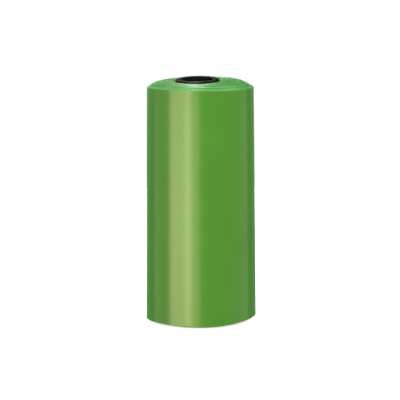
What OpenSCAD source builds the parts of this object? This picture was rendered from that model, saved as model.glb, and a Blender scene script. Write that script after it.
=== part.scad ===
// Refill roll of folded pet waste bags, wound on a plastic core tube.
// The roll stands on its lower end. The origin is the centre of that end, and +Z is up the roll.

/* [Wound film] */
// Width of the folded film strip, which is the height of the outer wall
film_width = 60; // [40:1:90]
// Diameter of the roll at the top of its wall
top_dia = 27.2; // [24:0.2:40]
// Diameter of the roll at the foot of its wall, where the strip's folds are thickest
foot_dia = 28.3; // [24:0.2:40]
// Radius that the foot of the wall is rounded to
foot_round = 0.2; // [0.2:0.05:1.5]
// Colour of the film
film_color = "#579c38"; // ["#579c38", "#3f8f4f", "#2f6fb0"]

/* [Domed top end] */
// How far the turns climb from the wall to the core
dome_rise = 1.5; // [0:0.05:3]
// Width of the sloping band inside the wall, past which the turns are level
dome_band = 4.8; // [2:0.1:6.5]
// How quickly the band flattens, where 1 is a straight slope
dome_power = 2.4; // [1:0.1:4]

/* [Dished lower end] */
// Width of the outer turns, which end a little above the level ones
edge_band = 2; // [1:0.1:3]
// How much higher those turns end on the +X side than on the -X side
edge_rise = 0.66; // [0:0.02:1]
// Height of the three waves in their edge
edge_wave = 0.22; // [0:0.02:0.4]
// Direction from the axis to the trough of one wave, in degrees from +X
edge_trough = 280; // [240:5:355]
// Width of the level turns that the roll stands on
land_width = 2; // [1:0.1:3]
// How far the inner turns are drawn up inside the lower end
dish_depth = 1.5; // [0.6:0.1:2.5]

/* [Turns] */
// Number of turns that show on each end, each standing for several turns of film
turns_shown = 10; // [6:1:11]
// Depth of the groove between two turns
groove_depth = 0.2; // [0.05:0.01:0.4]
// Thickness of the strip's free end, which is a step along the wall
free_end_step = 0.2; // [0.1:0.05:0.5]
// Direction that the free end faces from the axis, in degrees from +X
free_end_angle = 130; // [90:5:270]

/* [Core tube] */
// Outer diameter of the core
core_dia = 11.2; // [9:0.1:14]
// Diameter of the hole through the core
core_bore = 8.2; // [5:0.1:10]
// How far the core stands out of the turns at each end
core_stand_out = 0.28; // [0:0.02:0.56]
// Distance of the core from the roll's axis along X
core_x = -0.7; // [-1.5:0.1:1.5]
// Distance of the core from the roll's axis along Y
core_y = 0.6; // [-1.5:0.1:1.5]
// How far out of square the top end of the core and its turns is, in degrees
skew_angle = 4.7; // [0:0.1:8]
// Direction in which that end climbs, in degrees from +X
skew_direction = 79; // [0:1:359]
// Gap between the core and the innermost turn
core_gap = 0.05; // [0.02:0.01:0.3]
// Colour of the core
core_color = "#1d271e"; // ["#1d271e", "#303030", "#c8c4b8"]

/* [Hidden] */

// Columns of points round the roll
columns = 48;
// Steps of the rounding at the foot
foot_steps = 3;
// Where the crest of a turn starts and ends, as shares of the turn's width
crest_start = 0.25;
crest_end = 0.75;
// Width and drop of the bevel that leads from the core to the innermost turn
bevel_width = 0.1;
bevel_drop = 0.12;

top_r = top_dia / 2;
foot_r = foot_dia / 2;
core_r = core_dia / 2;
core_at = [core_x, core_y];
// The film's bore is a polygon drawn round the core and its gap
film_bore_r = (core_r + core_gap) / cos(180 / columns);
first_turn_r = film_bore_r + bevel_width;
// Depth of the winding at the top end and at the lower end, and where that end's level turns begin
top_depth = top_r - first_turn_r;
foot_depth = foot_r - foot_round - first_turn_r;
land_start = foot_depth - edge_band - land_width;
skew_slope = tan(skew_angle);
core_low = dish_depth - core_stand_out;
core_high = film_width + dome_rise + groove_depth + core_stand_out;
overcut = 1;

function ray(angle) = [cos(angle), sin(angle)];
function blend(from, to, share) = from + (to - from) * share;

// Direction of a column that lies a given turn angle past the free end
function facing(turn) = ray(free_end_angle + turn);

// Turns lie evenly near the core and close up to the film's own step at the wall.
// Shares run from 0 at the innermost turn to 1 at the outside.
closing = (1 - free_end_step * turns_shown / top_depth) / 3;
function spread(share) = (1 + closing) * share - closing * pow(share, 4);
function turn_start(k, turn) = spread((k + turn / 360) / turns_shown);
function edge_share(turn, depth) = 1 + free_end_step * turn / 360 / depth;

// Across an end, from the core out: a groove and the two corners of a crest for each turn,
// then the outside edge. Each entry is [share, 0 for a groove or 1 for a crest].
function across(turn, depth) = [
    for (k = [0:turns_shown - 1])
        let (inner = turn_start(k, turn),
             outer = k < turns_shown - 1 ? turn_start(k + 1, turn) : edge_share(turn, depth))
        each [
            [inner, 0],
            [blend(inner, outer, crest_start), 1],
            [blend(inner, outer, crest_end), 1]
        ],
    [edge_share(turn, depth), 0]
];

// Place in plan at a share of the way from the off-centre core to a circle round the roll's axis
function in_plan(turn, share, outer_r) =
    blend(core_at + first_turn_r * facing(turn), outer_r * facing(turn), share);
function bore_in_plan(turn) = core_at + film_bore_r * facing(turn);

// Heights of the two ends
function dome(share) =
    dome_rise * (1 - pow(1 - min(1, max(0, 1 - share) * top_depth / dome_band), dome_power));
function skew(place) = skew_slope * (place * ray(skew_direction));
function dish(share) = dish_depth * pow(sin(90 * max(0, 1 - share * foot_depth / land_start)), 2);
function edge_lift(turn) =
    max(0, edge_rise * (1 + facing(turn).x) / 2
           - edge_wave * cos(3 * (free_end_angle + turn - edge_trough)));
function edge_part(share) = min(1, max(0, 1 - (1 - share) * foot_depth / edge_band));

function top_point(turn, share, crest) =
    let (place = in_plan(turn, share, top_r))
    [place.x, place.y,
     film_width + dome(share) + max(0, 1 - share) * skew(place) + groove_depth * crest];

function foot_point(turn, share, crest) =
    let (place = in_plan(turn, share, foot_r - foot_round))
    [place.x, place.y,
     dish(share) + edge_lift(turn) * edge_part(share) + groove_depth * (1 - crest)];

// Corner of the wall's foot, rounded from the lower end up to the wall
function foot_corner(turn, angle) =
    let (start = foot_point(turn, edge_share(turn, foot_depth), 0),
         out = foot_round * sin(angle) * facing(turn))
    start + [out.x, out.y, foot_round * (1 - cos(angle))];

function bore_point_low(turn) =
    let (place = bore_in_plan(turn))
    [place.x, place.y, dish_depth + groove_depth + bevel_drop];
function bore_point_high(turn) =
    let (place = bore_in_plan(turn))
    [place.x, place.y, film_width + dome_rise + skew(place) - bevel_drop];

// One column of points: out along the lower end, up the wall, in along the top end
function column(turn) =
    let (low = across(turn, foot_depth), high = across(turn, top_depth))
    [
        bore_point_low(turn),
        for (s = low) foot_point(turn, s[0], s[1]),
        for (i = [1:foot_steps]) foot_corner(turn, 90 * i / foot_steps),
        for (i = [len(high) - 1:-1:0]) top_point(turn, high[i][0], high[i][1]),
        bore_point_high(turn)
    ];

// Points of a column, and the places in it of the lower edge, the wall's top edge and the last point
edge_low = 3 * turns_shown + 1;
edge_high = edge_low + foot_steps + 1;
last = edge_high + edge_low;
column_size = last + 1;
// After a full turn each turn has become the next one out, three points further along.
// Only the outermost turn is new there, from this place in the column to that one.
new_from = edge_low - 2;
new_to = edge_high + 2;

function vertex(c, i) =
    c < columns ? c * column_size + i
    : i == 0 || i == last ? i
    : i < new_from ? i + 3
    : i > new_to ? i - 3
    : columns * column_size + i - new_from;

roll_points = [
    for (c = [0:columns - 1]) each column(360 * c / columns),
    let (closing_column = column(360))
        for (i = [new_from:new_to]) closing_column[i]
];

surface_faces = [
    for (c = [0:columns - 1])
        for (i = [0:last])
            let (next = (i + 1) % column_size)
            each [
                [vertex(c, i), vertex(c, next), vertex(c + 1, next)],
                [vertex(c, i), vertex(c + 1, next), vertex(c + 1, i)]
            ]
];

// Inner end of the strip, seen as the section of the innermost turn on each end
inner_end_faces = [
    [4, 3, 2, 1, 0],
    [last, last - 1, last - 2, last - 3, last - 4]
];

// Free end of the strip, from the lower end to the top
free_end_faces = [
    [edge_low, vertex(columns, new_from), vertex(columns, new_from + 1), vertex(columns, edge_low)],
    for (i = [edge_low:edge_high - 1])
        [i, vertex(columns, i), vertex(columns, i + 1), i + 1],
    [edge_high, vertex(columns, edge_high), vertex(columns, new_to - 1), vertex(columns, new_to)]
];

// Block with its lower face in the skewed plane at the core's top end
module above_core_end() {
    size = 2 * core_dia;
    translate([0, 0, core_high])
        rotate([0, 0, skew_direction])
            rotate([0, -skew_angle, 0])
                translate([-size / 2, -size / 2, 0])
                    cube([size, size, size]);
}

// All the turns of film, as one solid with a spiral groove on each end
module bag_roll() {
    color(film_color)
        polyhedron(points = roll_points,
                   faces = concat(surface_faces, inner_end_faces, free_end_faces));
}

// Plastic tube open right through, cut square below and a little askew on top
module core_tube() {
    reach = core_r * skew_slope + overcut;
    color(core_color)
        difference() {
            translate([core_x, core_y, core_low])
                cylinder(d = core_dia, h = core_high + reach - core_low, $fn = 96);
            translate([core_x, core_y, core_low - overcut])
                cylinder(d = core_bore, h = core_high + reach - core_low + 2 * overcut, $fn = 96);
            above_core_end();
        }
}

bag_roll();
core_tube();
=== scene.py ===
import math

import bpy
import numpy as np
from mathutils import Matrix, Vector, noise


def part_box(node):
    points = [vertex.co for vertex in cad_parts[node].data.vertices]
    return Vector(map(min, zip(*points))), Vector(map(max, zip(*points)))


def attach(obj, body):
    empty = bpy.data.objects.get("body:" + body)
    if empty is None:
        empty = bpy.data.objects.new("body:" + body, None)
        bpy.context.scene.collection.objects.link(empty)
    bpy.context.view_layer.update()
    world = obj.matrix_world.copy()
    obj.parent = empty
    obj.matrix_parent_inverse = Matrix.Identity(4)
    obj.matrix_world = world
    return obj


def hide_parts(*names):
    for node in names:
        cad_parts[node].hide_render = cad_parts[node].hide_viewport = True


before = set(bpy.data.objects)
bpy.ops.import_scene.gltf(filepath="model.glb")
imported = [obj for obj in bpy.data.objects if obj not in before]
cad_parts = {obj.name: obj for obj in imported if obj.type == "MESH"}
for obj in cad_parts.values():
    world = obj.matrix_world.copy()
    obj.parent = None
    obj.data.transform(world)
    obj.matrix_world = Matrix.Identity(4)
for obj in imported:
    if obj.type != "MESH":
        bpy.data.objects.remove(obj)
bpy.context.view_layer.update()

# Sizes from the frame, in metres
MM = 0.001
ROLL_LOW, ROLL_HIGH = (Vector(p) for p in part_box("bag_roll"))
CORE_LOW, CORE_HIGH = (Vector(p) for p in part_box("core_tube"))
CORE_AT = np.array([(CORE_LOW.x + CORE_HIGH.x) / 2, (CORE_LOW.y + CORE_HIGH.y) / 2])
CORE_R = (CORE_HIGH.x - CORE_LOW.x) / 2
# The outermost turn makes half the box's width larger than the foot's radius by this much
BOX_EXCESS = 0.07 * MM
FOOT_R = (ROLL_HIGH.x - ROLL_LOW.x) / 2 - BOX_EXCESS

# The roll, as the solid has it
TAPER = 0.55 * MM
TOP_R = FOOT_R - TAPER
FILM_WIDTH = 60 * MM
FOOT_ROUND = 0.12 * MM
FOOT_EDGE = 0.05 * MM
DOME_RISE = 1.5 * MM
DOME_BAND = 4.8 * MM
DOME_POWER = 2.4
DISH_DEPTH = 1.5 * MM
LAND_WIDTH = 2 * MM
EDGE_BAND = 2 * MM
EDGE_RISE = 0.66 * MM
EDGE_WAVE = 0.22 * MM
EDGE_TROUGH = 280
FREE_END_STEP = 0.2 * MM
FREE_END_ANGLE = 130
SKEW_SLOPE = math.tan(math.radians(4.7))
SKEW_DIRECTION = 79
BORE_R = 4.1 * MM
CORE_GAP = 0.05 * MM
GROOVE_DEPTH = 0.2 * MM
BEVEL_WIDTH = 0.12 * MM
BEVEL_DROP = 0.2 * MM

# How finely the roll is modelled. A turn of film has these points across it, each a share of the
# turn and a height from 0 in the groove to 1 on the crest.
TURN_SECTION = ((0, 0), (0.3, 1), (0.75, 0.8))
COLUMNS = 320
TURNS = 32
WALL_ROWS = 24
END_ROWS = (0.12 * MM, 0.5 * MM)
FOOT_STEPS = 6

# Relief of the ends: single turns, then groups of turns that slipped along the roll together
TURN_RELIEF = 0.035 * MM
RIDGE_RELIEF = 0.21 * MM
RIDGES = 7
RIDGE_CREST = 0.8
# Where the painted shade in each group of turns is darkest, and how far from there it reaches
PAINTED_SHADE_AT = 0.92
PAINTED_SHADE_WIDTH = 0.12
RIDGE_DRIFT = 0.16
RIDGE_LEAST = 0.25
RIDGE_MOST = 1.2
RIDGE_ON_LEVEL = 0.35

# The rest of the relief: slow swells, crinkled film, a lift of the whole end, and the wall
SWELL = 0.05 * MM
CRINKLE = 0.08 * MM
END_LIFT = 0.1 * MM
END_LIFT_FADE = 3
EDGE_FADE = 6
EDGE_FADE_END = 1.02
CORE_FADE = 12
TOP_EDGE_WAVE = 0.2 * MM
FOOT_GROOVE = 0.16 * MM
# Share of the relief that is left on the turns that the roll stands on
LAND_RELIEF = 0.25
WALL_HOLLOW = 0.008 * MM
WALL_HOLLOW_SCALE = np.array([90, 90, 60])

# Places in the noise, so that the two ends differ
TOP_SEED = 0.0
FOOT_SEED = 17.0


def ray(degrees):
    """Unit vectors in plan for directions in degrees from +X."""
    a = np.radians(degrees)
    return np.stack([np.cos(a), np.sin(a)], axis=-1)


def blend(start, end, share):
    """Value a share of the way from start to end."""
    return start + (end - start) * share


def facing(turn):
    """Direction of a column that lies a given turn angle past the free end."""
    return ray(FREE_END_ANGLE + turn)


FIRST_R = CORE_R + CORE_GAP + BEVEL_WIDTH
TOP_DEPTH = TOP_R - FIRST_R
FOOT_DEPTH = FOOT_R - FOOT_ROUND - FIRST_R
LAND_START = FOOT_DEPTH - EDGE_BAND - LAND_WIDTH
CLOSING = (1 - FREE_END_STEP * TURNS / TOP_DEPTH) / 3


def spread(share):
    """Turns lie evenly near the core and close up to the film's own step at the wall."""
    return (1 + CLOSING) * share - CLOSING * share ** 4


def across(turn, depth):
    """Across an end from the core out: (share, crest, winding) for each point.

    crest is 0 in a groove and 1 on a crest. winding counts turns of film from the core."""
    stations = []
    edge = 1 + FREE_END_STEP * turn / 360 / depth
    for k in range(TURNS):
        inner = spread((k + turn / 360) / TURNS)
        outer = spread((k + 1 + turn / 360) / TURNS) if k < TURNS - 1 else edge
        for place, crest in TURN_SECTION:
            stations.append((blend(inner, outer, place), crest, k + turn / 360 + place))
    stations.append((edge, 0, TURNS + turn / 360))
    return np.array(stations)


def wander(x, y, z=0.0):
    """Smooth noise from -1 to 1."""
    return noise.noise(Vector((float(x), float(y), float(z))))


def clamp(value, low=0.0, high=1.0):
    """The value, kept between low and high."""
    return max(low, min(high, value))


def ridge_at(place, share, winding, seed):
    """Groups of turns that slipped along the roll together, each a ramp out to a crest and a step down.

    Gives the height, from 0 to 1, and the painted shade, which is 0 in the step and 1 away from it and
    darkens the edges' colour in the step."""
    c, s = ray(math.degrees(math.atan2(place[1], place[0])))
    drift = RIDGE_DRIFT * wander(1.3 * c, 1.3 * s, 2.5 * share + seed)
    part = (winding / TURNS * RIDGES + drift) % 1
    height = min(part / RIDGE_CREST, (1 - part) / (1 - RIDGE_CREST))
    # Painted shade, darkest at the step down of each group
    off = abs(part - PAINTED_SHADE_AT)
    return height, clamp(min(off, 1 - off) / PAINTED_SHADE_WIDTH)


def relief(place, share, crest, winding, ridge_share, seed):
    """Height of the film's edges above the smooth end, which wanders along the strip."""
    c, s = ray(math.degrees(math.atan2(place[1], place[0])))
    # Everything but the single turns fades out at the wall and at the core
    fade = clamp((EDGE_FADE_END - share) * EDGE_FADE) * clamp(share * CORE_FADE)
    single = crest * TURN_RELIEF * (1.0 + 0.9 * wander(winding * 1.7, 2.5 * c, 2.5 * s + seed))
    # The groups stand out most on the slope near the wall, and more in some directions than in others
    uneven = wander(1.9 * c + seed, 1.9 * s, winding / TURNS * RIDGES * 1.3)
    strength = clamp(0.75 + 0.9 * uneven, RIDGE_LEAST, RIDGE_MOST)
    slope = max(RIDGE_ON_LEVEL, 1 - max(0, 1 - share) * TOP_DEPTH / DOME_BAND)
    ridge = RIDGE_RELIEF * slope * (ridge_share - 0.5) * strength
    swell = SWELL * wander(share * 3.2, 1.3 * c + seed, 1.3 * s)
    # The film is crinkled only where it lies loose, which is mostly at the left
    loose = clamp(wander(1.2 * c, 1.2 * s, seed + 9) + 0.15 - 0.55 * c)
    crinkle = CRINKLE * wander(26 * c, 26 * s, 9 * share + seed) * loose
    lift = END_LIFT * clamp((1 - share) * END_LIFT_FADE)
    return single + fade * (lift + ridge + swell + crinkle)


def dome(share):
    """How far the turns climb from the wall's top edge, where share is 1, towards the core."""
    run = np.minimum(1, np.maximum(0, 1 - share) * TOP_DEPTH / DOME_BAND)
    return DOME_RISE * (1 - (1 - run) ** DOME_POWER)


def skew(place):
    """How far out of square the top end is at a place in plan."""
    return SKEW_SLOPE * float(place @ ray(SKEW_DIRECTION))


def edge_wave(place, share):
    """The wall's top edge stands a little higher at the front left and lower at the front right."""
    angle = math.atan2(place[1], place[0])
    return TOP_EDGE_WAVE * math.sin(2 * angle) * clamp(share) ** 2


def in_plan(turn, share, outer_r):
    """Place at a share of the way from the off-centre core to a circle round the roll's axis."""
    return blend(CORE_AT + FIRST_R * facing(turn), outer_r * facing(turn), share)


def top_point(turn, share, crest, winding):
    """Point on the domed end, as (x, y, z, winding, painted shade)."""
    place = in_plan(turn, share, TOP_R)
    height = FILM_WIDTH + dome(share) + max(0, 1 - share) * skew(place) + edge_wave(place, share)
    ridge, painted_shade = ridge_at(place, share, winding, TOP_SEED)
    return (*place, height + relief(place, share, crest, winding, ridge, TOP_SEED), winding, painted_shade)


def edge_lift(turn):
    """How far above the floor the outer turns end, in a given direction."""
    wave = math.cos(3 * math.radians(FREE_END_ANGLE + turn - EDGE_TROUGH))
    return max(0.0, EDGE_RISE * (1 + facing(turn)[0]) / 2 - EDGE_WAVE * wave)


def foot_point(turn, share, crest, winding):
    """Point on the dished lower end, never below the floor, as (x, y, z, winding, painted shade)."""
    place = in_plan(turn, share, FOOT_R - FOOT_ROUND)
    inside = max(0, 1 - share * FOOT_DEPTH / LAND_START)
    outside = clamp(1 - (1 - share) * FOOT_DEPTH / EDGE_BAND)
    height = DISH_DEPTH * math.sin(math.pi / 2 * inside) ** 2 + edge_lift(turn) * outside
    ridge, painted_shade = ridge_at(place, share, winding, FOOT_SEED)
    pressed = blend(LAND_RELIEF, 1, min(1, inside * 3))
    shape = relief(place, share, crest, winding, ridge, FOOT_SEED) * pressed
    return (*place, max(0.0, height + FOOT_GROOVE * (1 - crest) - shape), winding, painted_shade)


def foot_corner(turn, degrees):
    """Point on the small rounding between the lower end and the wall."""
    edge = 1 + FREE_END_STEP * turn / 360 / FOOT_DEPTH
    place = in_plan(turn, edge, FOOT_R - FOOT_ROUND)
    place = place + FOOT_ROUND * math.sin(math.radians(degrees)) * facing(turn)
    height = edge_lift(turn) + FOOT_EDGE + FOOT_ROUND * (1 - math.cos(math.radians(degrees)))
    return (*place, height)


# Places up the wall, from 0 at the foot to 1 at the top, closer together at both ends
WALL_SHARES = ([d / FILM_WIDTH for d in END_ROWS] + [i / WALL_ROWS for i in range(1, WALL_ROWS)]
               + [1 - d / FILM_WIDTH for d in reversed(END_ROWS)])


def column(turn):
    """Points out along the lower end, up the wall, and in along the top end.

    Each is (x, y, z, winding, painted shade), where the painted shade is 0 in a step between two groups
    of turns and darkens the edges' colour there."""
    low = across(turn, FOOT_DEPTH)
    high = across(turn, TOP_DEPTH)[::-1]
    bore = CORE_AT + (CORE_R + CORE_GAP) * facing(turn)
    outermost = TURNS + turn / 360
    # The bore's points, here and at the top, carry full painted shade, 0, which darkens the edges beside
    # the core; the wall's points carry none, 1
    points = [(*bore, DISH_DEPTH + GROOVE_DEPTH + BEVEL_DROP, 0.0, 0.0)]
    points += [foot_point(turn, *s) for s in low]
    points += [(*foot_corner(turn, 90 * i / FOOT_STEPS), outermost, 1.0)
               for i in range(1, FOOT_STEPS + 1)]
    wall_foot = np.array(points[-1][:3])
    wall_top = np.array(top_point(turn, *high[0])[:3])
    for share in WALL_SHARES:
        place = blend(wall_foot, wall_top, share)
        hollow = WALL_HOLLOW * wander(*(place * WALL_HOLLOW_SCALE))
        points.append((*(place + hollow * np.array([*facing(turn), 0])), outermost, 1.0))
    points += [top_point(turn, *s) for s in high]
    points.append((*bore, FILM_WIDTH + DOME_RISE + skew(bore) - BEVEL_DROP, 0.0, 0.0))
    return points


def roll_mesh():
    """The wound strip, a closed spiral: after a full turn each turn has become the next one out."""
    per_turn = len(TURN_SECTION)
    edge_low = per_turn * TURNS + 1
    edge_high = edge_low + FOOT_STEPS + len(WALL_SHARES) + 1
    last = edge_high + edge_low
    size = last + 1
    new_from = edge_low - 2
    new_to = edge_high + 2

    def vertex(c, i):
        """Number of a point. The last column is the first one again, one turn further out."""
        if c < COLUMNS:
            return c * size + i
        if i in (0, last):
            return i
        if i < new_from:
            return i + per_turn
        if i > new_to:
            return i - per_turn
        return COLUMNS * size + i - new_from

    points = []
    for c in range(COLUMNS):
        points += column(360 * c / COLUMNS)
    points += column(360)[new_from:new_to + 1]
    faces = []
    for c in range(COLUMNS):
        for i in range(size):
            after = (i + 1) % size
            faces.append((vertex(c, i), vertex(c + 1, i), vertex(c + 1, after), vertex(c, after)))
    # The strip's inner end, seen on each end of the roll
    faces.append((0, 1, 2, 3, 4))
    faces.append((last - 4, last - 3, last - 2, last - 1, last))
    # The strip's free end, a step from the lower end up the wall to the top
    end = [vertex(COLUMNS, i) for i in range(size)]
    faces.append((end[edge_low], end[new_from + 1], end[new_from], edge_low))
    for i in range(edge_low, edge_high):
        faces.append((i, i + 1, end[i + 1], end[i]))
    faces.append((end[new_to], end[new_to - 1], end[edge_high], edge_high))
    return points, faces


def new_object(name, points, faces, materials):
    """A smooth-shaded mesh object. Only the first three values of each point are its place."""
    mesh = bpy.data.meshes.new(name)
    mesh.from_pydata([tuple(map(float, p[:3])) for p in points], [], faces)
    mesh.update()
    for m in materials:
        mesh.materials.append(m)
    obj = bpy.data.objects.new(name, mesh)
    bpy.context.collection.objects.link(obj)
    mesh.polygons.foreach_set("use_smooth", [True] * len(mesh.polygons))
    return obj


def node_material(name):
    """A material, its node tree and its main shader."""
    material = bpy.data.materials.new(name)
    material.use_nodes = True
    tree = material.node_tree
    return material, tree, tree.nodes["Principled BSDF"]


def add_node(tree, kind, **values):
    """A node whose named values are sockets where it has them, and settings otherwise."""
    node = tree.nodes.new(kind)
    for key, value in values.items():
        if key in node.inputs:
            node.inputs[key].default_value = value
        else:
            setattr(node, key, value)
    return node


def ramp(tree, source, low, high, low_at=0.3, high_at=0.7):
    """Colour that runs from low to high with a noise or other factor."""
    node = add_node(tree, "ShaderNodeValToRGB")
    for element, place, color in zip(node.color_ramp.elements, (low_at, high_at), (low, high)):
        element.position = place
        element.color = (*color, 1)
    tree.links.new(source, node.inputs["Fac"])
    return node.outputs["Color"]


def scaled(tree, source, low, high):
    """A factor from 0 to 1, brought to run from low to high."""
    node = add_node(tree, "ShaderNodeMapRange")
    node.inputs["To Min"].default_value = low
    node.inputs["To Max"].default_value = high
    tree.links.new(source, node.inputs["Value"])
    return node.outputs["Result"]


def noise_at(tree, vector, size, detail, squeeze=(1, 1, 1)):
    """Noise on a vector, first scaled along its axes."""
    stretch = add_node(tree, "ShaderNodeMapping")
    stretch.inputs["Scale"].default_value = squeeze
    tree.links.new(vector, stretch.inputs["Vector"])
    node = add_node(tree, "ShaderNodeTexNoise", Scale=size, Detail=detail)
    tree.links.new(stretch.outputs["Vector"], node.inputs["Vector"])
    return node.outputs["Fac"]


def bumped(tree, shader, height, strength, distance):
    """Gives a shader a bump, with its distance in metres."""
    node = add_node(tree, "ShaderNodeBump", Strength=strength, Distance=distance)
    tree.links.new(height, node.inputs["Height"])
    tree.links.new(node.outputs["Normal"], shader.inputs["Normal"])


def film_wall_material():
    """Smooth glossy film, its machine direction running round the roll."""
    material, tree, shader = node_material("film_wall")
    place = add_node(tree, "ShaderNodeTexCoord").outputs["Object"]
    streaks = noise_at(tree, place, 1.0, 3.0, (60, 60, 900))
    clouds = noise_at(tree, place, 70.0, 2.0)
    color = ramp(tree, clouds, (0.040, 0.249, 0.0065), (0.048, 0.270, 0.0105))
    tree.links.new(color, shader.inputs["Base Color"])
    tree.links.new(scaled(tree, streaks, 0.23, 0.27), shader.inputs["Roughness"])
    bumped(tree, shader, streaks, 0.1, 0.02 * MM)
    shader.inputs["Specular IOR Level"].default_value = 0.8
    shader.inputs["Specular Tint"].default_value = (1.0, 0.84, 0.5, 1)
    return material


def film_edge_material():
    """The strip's cut and folded edges, paler and duller than the wall, each turn a little different,
    with shade painted into the steps between groups of turns.
    """
    material, tree, shader = node_material("film_edges")
    place = add_node(tree, "ShaderNodeTexCoord").outputs["Object"]
    winding = add_node(tree, "ShaderNodeAttribute", attribute_name="winding")
    # Noise that changes slowly along the strip and quickly from one turn to the next
    along = add_node(tree, "ShaderNodeVectorMath", operation="MULTIPLY_ADD")
    along.inputs[1].default_value = (70, 70, 0)
    tree.links.new(place, along.inputs[0])
    lift = add_node(tree, "ShaderNodeCombineXYZ")
    tree.links.new(winding.outputs["Fac"], lift.inputs["Z"])
    tree.links.new(lift.outputs["Vector"], along.inputs[2])
    strips = noise_at(tree, along.outputs["Vector"], 1.0, 4.0, (1, 1, 0.5))
    rings = noise_at(tree, along.outputs["Vector"], 1.0, 1.0, (0.6, 0.6, 7))
    color = ramp(tree, strips, (0.070, 0.345, 0.050), (0.130, 0.48, 0.108), 0.36, 0.64)
    # Painted shade: the colour is darkened in the steps between the groups of turns, where little light
    # gets in
    step = add_node(tree, "ShaderNodeAttribute", attribute_name="painted_shade")
    painted_shade = ramp(tree, step.outputs["Fac"], (0.55, 0.68, 0.50), (1, 1, 1), 0.0, 0.9)
    with_painted_shade = add_node(tree, "ShaderNodeMix", data_type="RGBA", blend_type="MULTIPLY")
    with_painted_shade.inputs["Factor"].default_value = 1.0
    tree.links.new(color, with_painted_shade.inputs["A"])
    tree.links.new(painted_shade, with_painted_shade.inputs["B"])
    tree.links.new(with_painted_shade.outputs["Result"], shader.inputs["Base Color"])
    tree.links.new(scaled(tree, rings, 0.18, 0.26), shader.inputs["Roughness"])
    bumped(tree, shader, rings, 0.3, 0.03 * MM)
    shader.inputs["Specular IOR Level"].default_value = 0.28
    shader.inputs["Specular Tint"].default_value = (1.0, 1.0, 0.85, 1)
    return material


def core_material():
    """Dark recycled plastic with a slight green cast and a dull moulded skin."""
    material, tree, shader = node_material("core_plastic")
    place = add_node(tree, "ShaderNodeTexCoord").outputs["Object"]
    grain = noise_at(tree, place, 900.0, 4.0)
    color = ramp(tree, grain, (0.002, 0.008, 0.003), (0.005, 0.016, 0.006))
    tree.links.new(color, shader.inputs["Base Color"])
    tree.links.new(scaled(tree, grain, 0.16, 0.24), shader.inputs["Roughness"])
    bumped(tree, shader, grain, 0.25, 0.03 * MM)
    shader.inputs["Specular IOR Level"].default_value = 0.04
    return material


def lathe(profile, segments, place):
    """Closed ring from a closed profile of (radius, height).

    place(radius, height, angle) gives the point."""
    points = [place(r, z, 2 * math.pi * c / segments) for c in range(segments) for r, z in profile]
    size = len(profile)
    faces = []
    for c in range(segments):
        d = (c + 1) % segments
        for i in range(size):
            j = (i + 1) % size
            faces.append((c * size + i, d * size + i, d * size + j, c * size + j))
    return points, faces


# Roundings of the core's rims
INNER_RIM = 0.1 * MM
OUTER_RIM = 0.26 * MM
RIM_STEPS = 4
CORE_SEGMENTS = 128


def core_profile(low, high):
    """Outline of the tube's wall, its four corners rounded."""
    corners = [(BORE_R, low, INNER_RIM, 180), (CORE_R, low, OUTER_RIM, 270),
               (CORE_R, high, OUTER_RIM, 0), (BORE_R, high, INNER_RIM, 90)]
    outline = []
    for r, z, rim, start in corners:
        centre_r = r + (rim if r == BORE_R else -rim)
        centre_z = z + (rim if z == low else -rim)
        for i in range(RIM_STEPS + 1):
            a = math.radians(start + 90 * i / RIM_STEPS)
            outline.append((centre_r + rim * math.cos(a), centre_z + rim * math.sin(a)))
    return outline


def core_mesh():
    """The tube, with its top end askew as the turns round it are."""
    low = CORE_LOW.z
    high = CORE_HIGH.z - CORE_R * SKEW_SLOPE
    direction = ray(SKEW_DIRECTION)

    def place(r, z, angle):
        x, y = r * math.cos(angle), r * math.sin(angle)
        share = (z - low) / (high - low)
        lean = SKEW_SLOPE * (x * direction[0] + y * direction[1])
        return (CORE_AT[0] + x, CORE_AT[1] + y, z + (lean if share > 0.5 else 0))

    return lathe(core_profile(low, high), CORE_SEGMENTS, place)


# The wall is what stands upright at the outside, and the rest shows the strip's edges
UPRIGHT = 0.72
WALL_INNER_R = TOP_R - 1.0 * MM
WALL_TOP = FILM_WIDTH - 0.02 * MM

film_wall = film_wall_material()
film_edges = film_edge_material()
core_plastic = core_material()

roll_points, roll_faces = roll_mesh()
roll = new_object("film_roll", roll_points, roll_faces, [film_wall, film_edges])
# Winding and painted shade go onto the mesh; the painted shade darkens the edges' colour in the steps
# between groups of turns
for place, name in ((3, "winding"), (4, "painted_shade")):
    attribute = roll.data.attributes.new(name, "FLOAT", "POINT")
    attribute.data.foreach_set("value", [float(p[place]) for p in roll_points])
for polygon in roll.data.polygons:
    middle = polygon.center
    upright = abs(polygon.normal.z) < UPRIGHT and math.hypot(middle.x, middle.y) > WALL_INNER_R
    polygon.material_index = 0 if upright and middle.z < WALL_TOP else 1
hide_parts("bag_roll")
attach(roll, "root")

core = new_object("core", *core_mesh(), [core_plastic])
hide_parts("core_tube")
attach(core, "root")

# Camera, as the photograph was taken. The shift is in pixels of the picture.
CAMERA_DISTANCE = 0.4365
CAMERA_PITCH = math.radians(8.4)
CAMERA_ROLL = math.radians(-0.23)
PIXELS_PER_METRE = 3868
IMAGE_SIZE = 400
SENSOR = 36
AIM_HEIGHT = 29.1 * MM
AIM_SHIFT = (0.585, 6.45)

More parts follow.
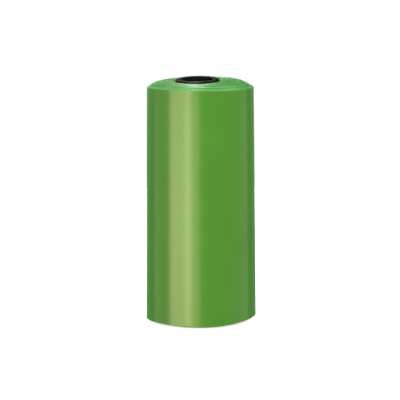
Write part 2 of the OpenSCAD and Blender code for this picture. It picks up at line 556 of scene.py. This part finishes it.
camera_data = bpy.data.cameras.new("camera")
camera_data.sensor_width = SENSOR
camera_data.lens = PIXELS_PER_METRE * CAMERA_DISTANCE / IMAGE_SIZE * SENSOR
camera_data.clip_start = 0.01
camera = bpy.data.objects.new("camera", camera_data)
bpy.context.collection.objects.link(camera)
target = Vector((0, 0, AIM_HEIGHT))
camera.location = target + CAMERA_DISTANCE * Vector((0, -math.cos(CAMERA_PITCH), math.sin(CAMERA_PITCH)))
aim = target + Vector((-AIM_SHIFT[0], 0, AIM_SHIFT[1])) / PIXELS_PER_METRE
look = (aim - camera.location).to_track_quat("-Z", "Y").to_matrix()
camera.rotation_euler = (look @ Matrix.Rotation(CAMERA_ROLL, 3, "Z")).to_euler()
bpy.context.scene.camera = camera

# Place that every lamp points at
LIGHT_AIM = Vector((0, 0, 30 * MM))


def area_light(name, azimuth, elevation, distance, width, height, watts, color=(1, 1, 1)):
    """A softbox facing the roll. Azimuth is in degrees from the photo's camera, counted to the right."""
    data = bpy.data.lights.new(name, "AREA")
    data.shape = "RECTANGLE"
    data.size = width
    data.size_y = height
    data.energy = watts
    data.color = color
    light = bpy.data.objects.new(name, data)
    bpy.context.collection.objects.link(light)
    a, e = math.radians(azimuth), math.radians(elevation)
    outward = Vector((math.sin(a) * math.cos(e), -math.cos(a) * math.cos(e), math.sin(e)))
    light.location = LIGHT_AIM + distance * outward
    light.rotation_euler = (LIGHT_AIM - light.location).to_track_quat("-Z", "Y").to_euler()
    return light


# The camera looks 8.4 degrees down, so the upright wall mirrors what lies as far below the level.
# The lamps that give it its bands of light stand there, and the floor lets their light through.
WARM = (1.0, 0.985, 0.95)
BAND_ELEVATION = -8.5
BAND_DISTANCE = 0.9
BAND_HEIGHT = 0.317

area_light("key", -44, BAND_ELEVATION, BAND_DISTANCE, 0.8, BAND_HEIGHT, 3.45, WARM)
area_light("key_front", -17.5, BAND_ELEVATION, BAND_DISTANCE, 0.47, BAND_HEIGHT, 1.2, WARM)
back_band = area_light("back_band", 178, BAND_ELEVATION, BAND_DISTANCE, 0.25, BAND_HEIGHT, 0.7)
back_band.visible_camera = False

# The other lamps light the film evenly and aren't mirrored, apart from the narrow one, which gives
# the streaks on the domed end
area_light("fill_front", 30, 35, 0.8, 0.4, 0.3, 5.0).visible_glossy = False
area_light("top", -178.2, 43, 0.8, 0.045, 0.52, 0.66)
area_light("overhead", 180, 78, 0.8, 0.4, 0.4, 1.8).visible_glossy = False
for name, azimuth, watts in (("back_left", -138, 6.9), ("back_right", 141, 5.3)):
    area_light(name, azimuth, 15, 0.8, 0.4, 0.3, watts).visible_glossy = False

# Grey cards behind the roll, each with its azimuth, the heights of its lower and upper edge, and its grey
FLAG_DISTANCE = 0.9
FLAG_WIDTH = 1.2
FLAGS = {
    "flag_low_left": (-150, -0.57, 0.0, 0.4),
    "flag_low_right": (150, -0.57, 0.0, 0.4),
    "flag_middle_left": (-144, 0.0, 0.5, 0.9),
    "flag_middle_right": (150, 0.0, 0.25, 0.6),
    "flag_high_left": (-150, 0.5, 0.72, 0.12),
    "flag_high_right": (150, 0.25, 0.72, 0.12),
}


def flag_card(name, azimuth, bottom, top, grey):
    """A card that only glossy rays see, so that the roll doesn't mirror white all over."""
    material, tree, shader = node_material(name)
    shader.inputs["Base Color"].default_value = (grey, grey, grey, 1)
    shader.inputs["Specular IOR Level"].default_value = 0.0
    shader.inputs["Roughness"].default_value = 1.0
    a = math.radians(azimuth)
    out = Vector((math.sin(a), -math.cos(a), 0))
    side = Vector((-out.y, out.x, 0)) * FLAG_WIDTH / 2
    low = out * FLAG_DISTANCE + Vector((0, 0, bottom))
    high = out * FLAG_DISTANCE + Vector((0, 0, top))
    corners = [low - side, low + side, high + side, high - side]
    card = new_object(name, corners, [(0, 1, 2, 3)], [material])
    card.visible_camera = False
    card.visible_diffuse = False
    card.visible_shadow = False


for name, (azimuth, bottom, top, grey) in FLAGS.items():
    flag_card(name, azimuth, bottom, top, grey)


def white_when_seen(tree, seen, unseen):
    """Mixes two shaders so that camera, glossy and transmission rays see the first one."""
    path = add_node(tree, "ShaderNodeLightPath")
    total = path.outputs["Is Camera Ray"]
    for kind in ("Is Glossy Ray", "Is Transmission Ray"):
        plus = add_node(tree, "ShaderNodeMath", operation="MAXIMUM")
        tree.links.new(total, plus.inputs[0])
        tree.links.new(path.outputs[kind], plus.inputs[1])
        total = plus.outputs["Value"]
    mix = add_node(tree, "ShaderNodeMixShader")
    tree.links.new(total, mix.inputs[0])
    tree.links.new(unseen.outputs[0], mix.inputs[1])
    tree.links.new(seen.outputs[0], mix.inputs[2])
    return mix


# Seen, the room is white. As a light it is only faint.
AMBIENT = 0.02
world = bpy.data.worlds.new("studio")
world.use_nodes = True
world.cycles.sampling_method = "NONE"
bpy.context.scene.world = world
room_tree = world.node_tree
room_tree.nodes.clear()
white = add_node(room_tree, "ShaderNodeBackground", Color=(1, 1, 1, 1), Strength=1.0)
faint = add_node(room_tree, "ShaderNodeBackground", Color=(1, 1, 1, 1), Strength=AMBIENT)
room_out = add_node(room_tree, "ShaderNodeOutputWorld")
room_tree.links.new(white_when_seen(room_tree, white, faint).outputs[0], room_out.inputs["Surface"])


def floor_material():
    """Pale paper, lifted to white where it is seen, which throws little light back at the roll."""
    material = bpy.data.materials.new("pale_floor")
    material.use_nodes = True
    tree = material.node_tree
    tree.nodes.clear()
    paper = add_node(tree, "ShaderNodeBsdfDiffuse", Color=(0.8, 0.8, 0.8, 1))
    bounce = add_node(tree, "ShaderNodeBsdfDiffuse", Color=(0.2, 0.2, 0.2, 1))
    lift = add_node(tree, "ShaderNodeEmission", Color=(1, 1, 1, 1), Strength=0.62)
    both = add_node(tree, "ShaderNodeAddShader")
    tree.links.new(paper.outputs[0], both.inputs[0])
    tree.links.new(lift.outputs[0], both.inputs[1])
    result = add_node(tree, "ShaderNodeOutputMaterial")
    tree.links.new(white_when_seen(tree, both, bounce).outputs[0], result.inputs["Surface"])
    return material


FLOOR_R = 0.25
FLOOR_SIDES = 96
FLOOR_DROP = 0.05 * MM
floor_ring = [(FLOOR_R * math.cos(a), FLOOR_R * math.sin(a), -FLOOR_DROP)
              for a in (2 * math.pi * i / FLOOR_SIDES for i in range(FLOOR_SIDES))]
floor = new_object("floor", floor_ring, [tuple(range(FLOOR_SIDES))], [floor_material()])
floor.visible_glossy = False
floor.visible_shadow = False

bpy.context.scene.view_settings.view_transform = "Standard"
